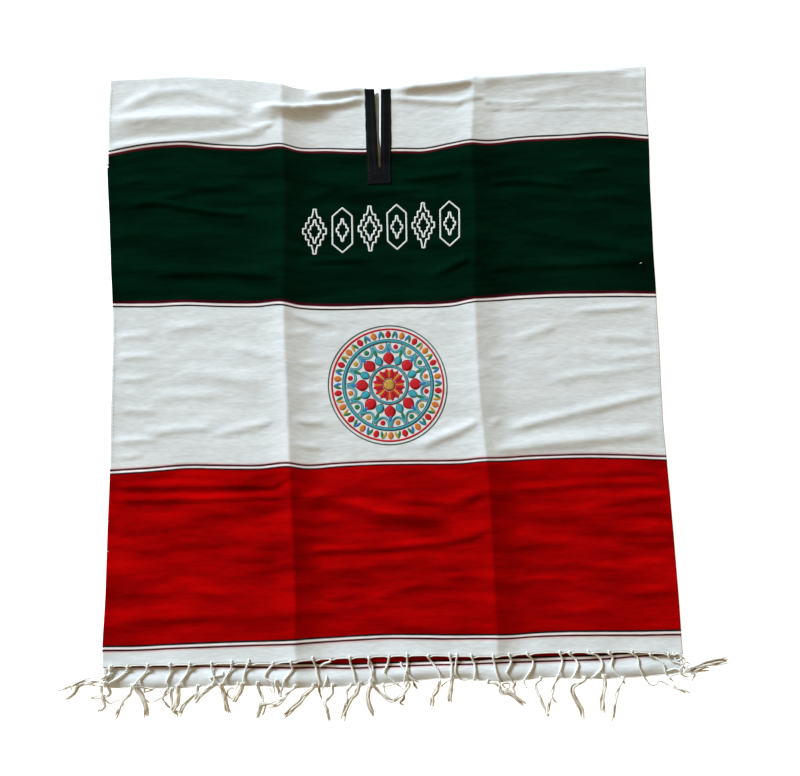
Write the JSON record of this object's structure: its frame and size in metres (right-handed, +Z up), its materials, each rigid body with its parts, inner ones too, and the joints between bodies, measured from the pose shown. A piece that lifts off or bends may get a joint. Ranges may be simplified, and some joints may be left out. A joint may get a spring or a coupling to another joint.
{
  "type": "poncho",
  "caption": "Woven poncho with broad bands, folded over the shoulders and laid flat, with a taped head slit and knotted fringe on both hems.",
  "frame": {"origin": "middle of the underside, in the plane that the poncho lies on", "axes": "+X across the cloth to the right as seen from above, +Y up the cloth from the hems to the shoulder fold, +Z up from the surface"},
  "size_m": [1.1768, 1.2229, 0.0156],
  "materials": {
    "woven_cloth": "matt weft-faced weave in white, deep green and red bands, parted by thin black, white and maroon lines",
    "neck_tape": "black woven tape with a faint sheen",
    "warp_ties": "undyed cream yarn, twisted and knotted, tan at the ends",
    "embroidery_thread": "lustrous embroidery thread in white, red, green, turquoise and ochre"
  },
  "bodies": {
    "root": {"woven_shoulder_left": "woven_cloth", "woven_shoulder_right": "woven_cloth", "woven_front": "woven_cloth", "woven_back": "woven_cloth", "neck_tape": "neck_tape", "front_fringe": "warp_ties", "back_fringe": "warp_ties"}
  },
  "joints": []
}
